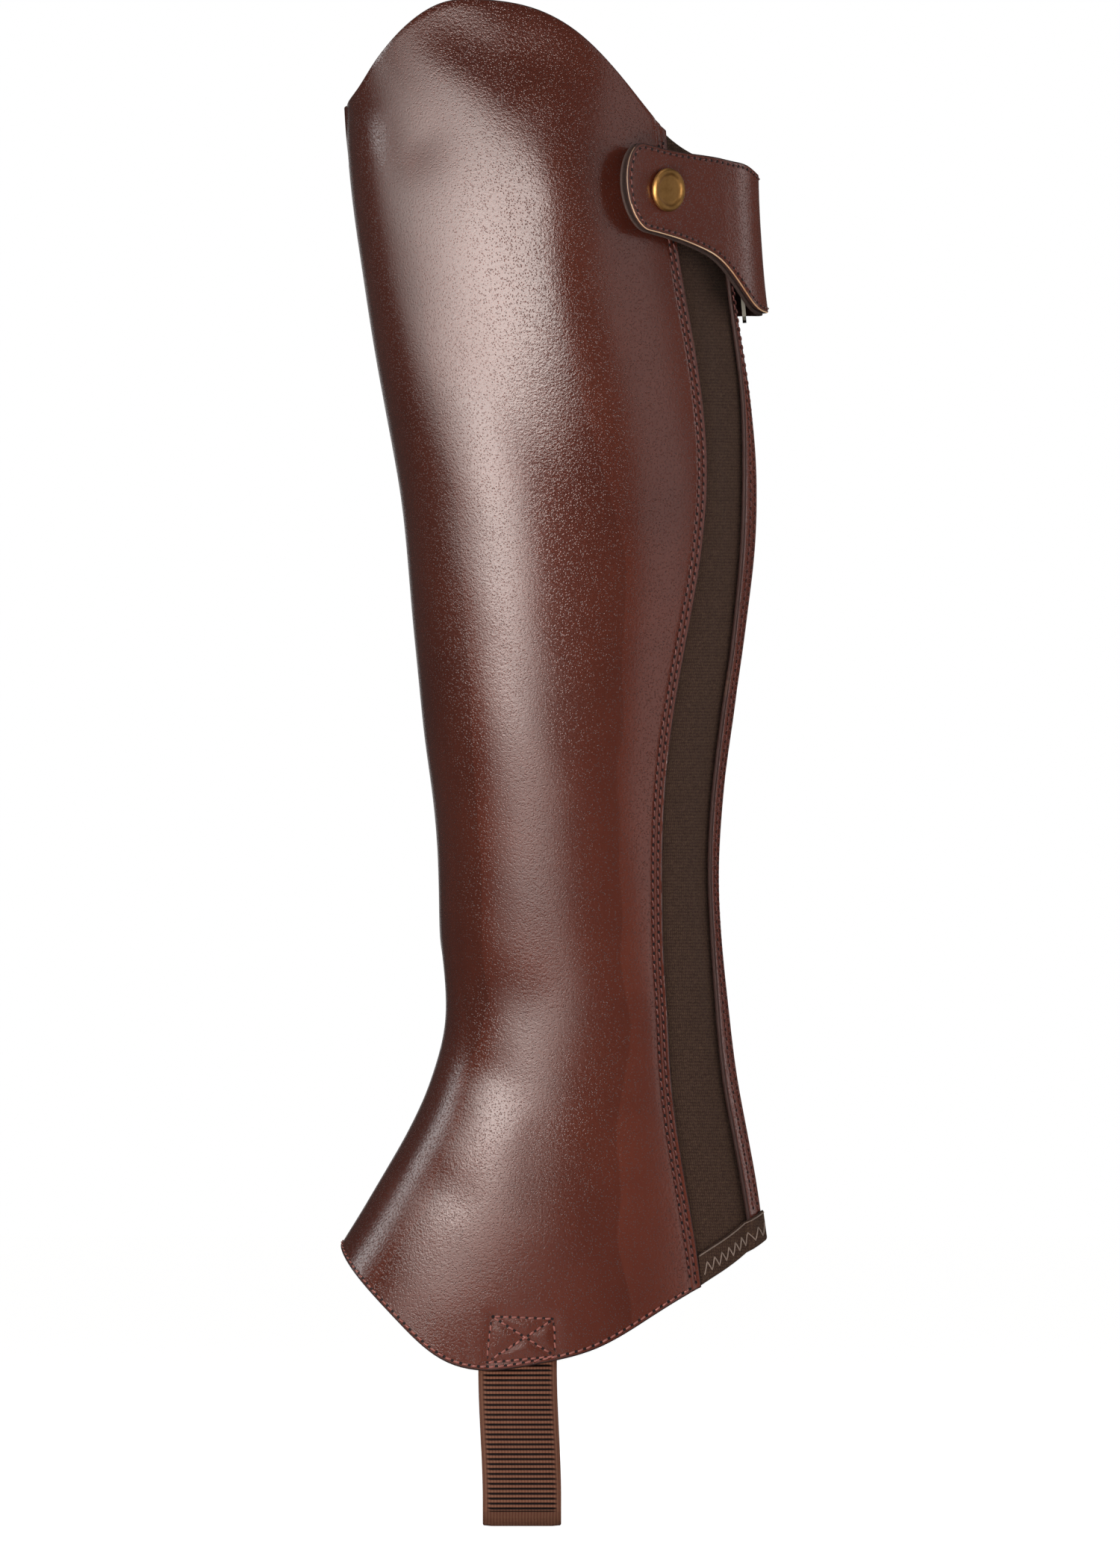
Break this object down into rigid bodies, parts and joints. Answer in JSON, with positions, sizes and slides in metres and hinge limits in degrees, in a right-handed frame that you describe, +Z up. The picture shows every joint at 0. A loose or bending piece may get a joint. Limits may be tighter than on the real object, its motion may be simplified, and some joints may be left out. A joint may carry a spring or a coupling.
{
  "type": "half chap",
  "caption": "Brown leather half chap in its worn shape, with an elastic gore, rear zip, snap tab and ribbed elastic stirrup strap.",
  "frame": {"origin": "in the middle of the calf, inside the empty leg, 346 mm above the underside of the stirrup strap", "axes": "+Z up along the leg, -Y towards the outer side of the leg, which the picture shows, -X towards the shin, +X towards the heel side and the zip"},
  "size_m": [0.1375, 0.1122, 0.4902],
  "materials": {
    "leather": "smooth full-grain leather, semi-gloss",
    "tab_backing": "matte leather with a raw tan edge",
    "gore_elastic": "fine woven elastic",
    "strap_elastic": "ribbed woven elastic",
    "zip_tape": "woven tape",
    "zip_coil": "nylon coil",
    "brass": "antique brass",
    "zip_metal": "nickel-plated"
  },
  "bodies": {
    "chap": {"leather_panel": "leather", "zip_stay": "leather", "tab_outer": "leather", "tab_backing": "tab_backing", "elastic_gore": "gore_elastic", "gore_hem": "gore_elastic", "stirrup_strap": "strap_elastic", "zip_tape_outer": "zip_tape", "zip_tape_inner": "zip_tape", "zip_chain": "zip_coil", "zip_stop": "zip_metal", "zip_slider": "zip_metal", "snap_cap": "brass", "snap_stud": "brass", "snap_back": "brass"},
    "pull": {"zip_pull": "zip_metal"}
  },
  "joints": [
    {"name": "pull_hinge", "type": "hinge", "parent": "chap", "child": "pull", "pos_m": [0.05527, 0, 0.06211], "axis": [0, -1, 0], "range_deg": [0, 6]}
  ]
}
